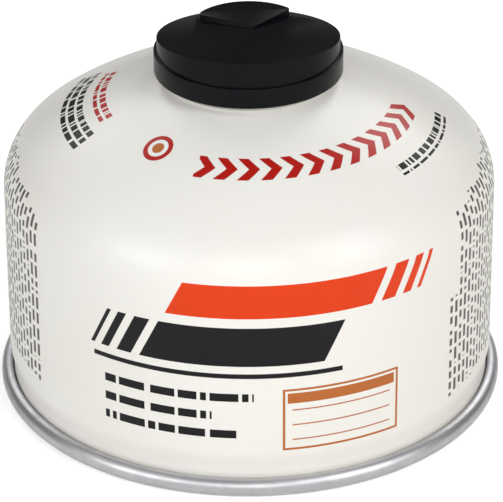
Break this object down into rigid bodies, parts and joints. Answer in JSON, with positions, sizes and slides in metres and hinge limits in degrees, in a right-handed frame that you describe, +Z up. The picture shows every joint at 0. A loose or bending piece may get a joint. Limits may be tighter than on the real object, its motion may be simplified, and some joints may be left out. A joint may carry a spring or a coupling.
{
  "type": "screw-valve gas canister",
  "caption": "Small squat gas canister for a camp stove: enamelled steel body, rolled base seam, threaded valve in a crimped cup, and a black push-on cap.",
  "frame": {"origin": "middle of the standing ring, on the surface that the canister stands on", "axes": "+Z up along the canister's axis towards the cap; -Y is the front that carries the main print, and the high side of the cap's sloping top"},
  "size_m": [0.09, 0.09, 0.0686],
  "materials": {
    "ivory_enamel": null,
    "seam_tinplate": "bare tinplate, satin silver",
    "cup_tinplate": "bare tinplate, bright",
    "cap_plastic": "black moulded polyethylene, low gloss",
    "valve_acetal": "natural acetal, moulded",
    "gasket_rubber": "black nitrile rubber",
    "spring_steel": "drawn stainless wire"
  },
  "bodies": {
    "can": {"can_body": "ivory_enamel", "base_end": "seam_tinplate", "valve_cup": "cup_tinplate", "stem_gasket": "gasket_rubber", "valve_housing": "valve_acetal", "valve_spring": "spring_steel"},
    "stem": {"valve_stem": "valve_acetal"},
    "cap": {"protective_cap": "cap_plastic"}
  },
  "joints": [
    {"name": "stem_press", "type": "slide", "parent": "can", "child": "stem", "axis": [0, 0, 1], "range_m": [-0.0016, 0], "stiffness_N_per_m": 3000, "springref_m": 0.001, "deforming": ["valve_spring"]},
    {"name": "cap_pull", "type": "slide", "parent": "can", "child": "cap", "axis": [0, 0, 1], "range_m": [0, 0.03]}
  ]
}
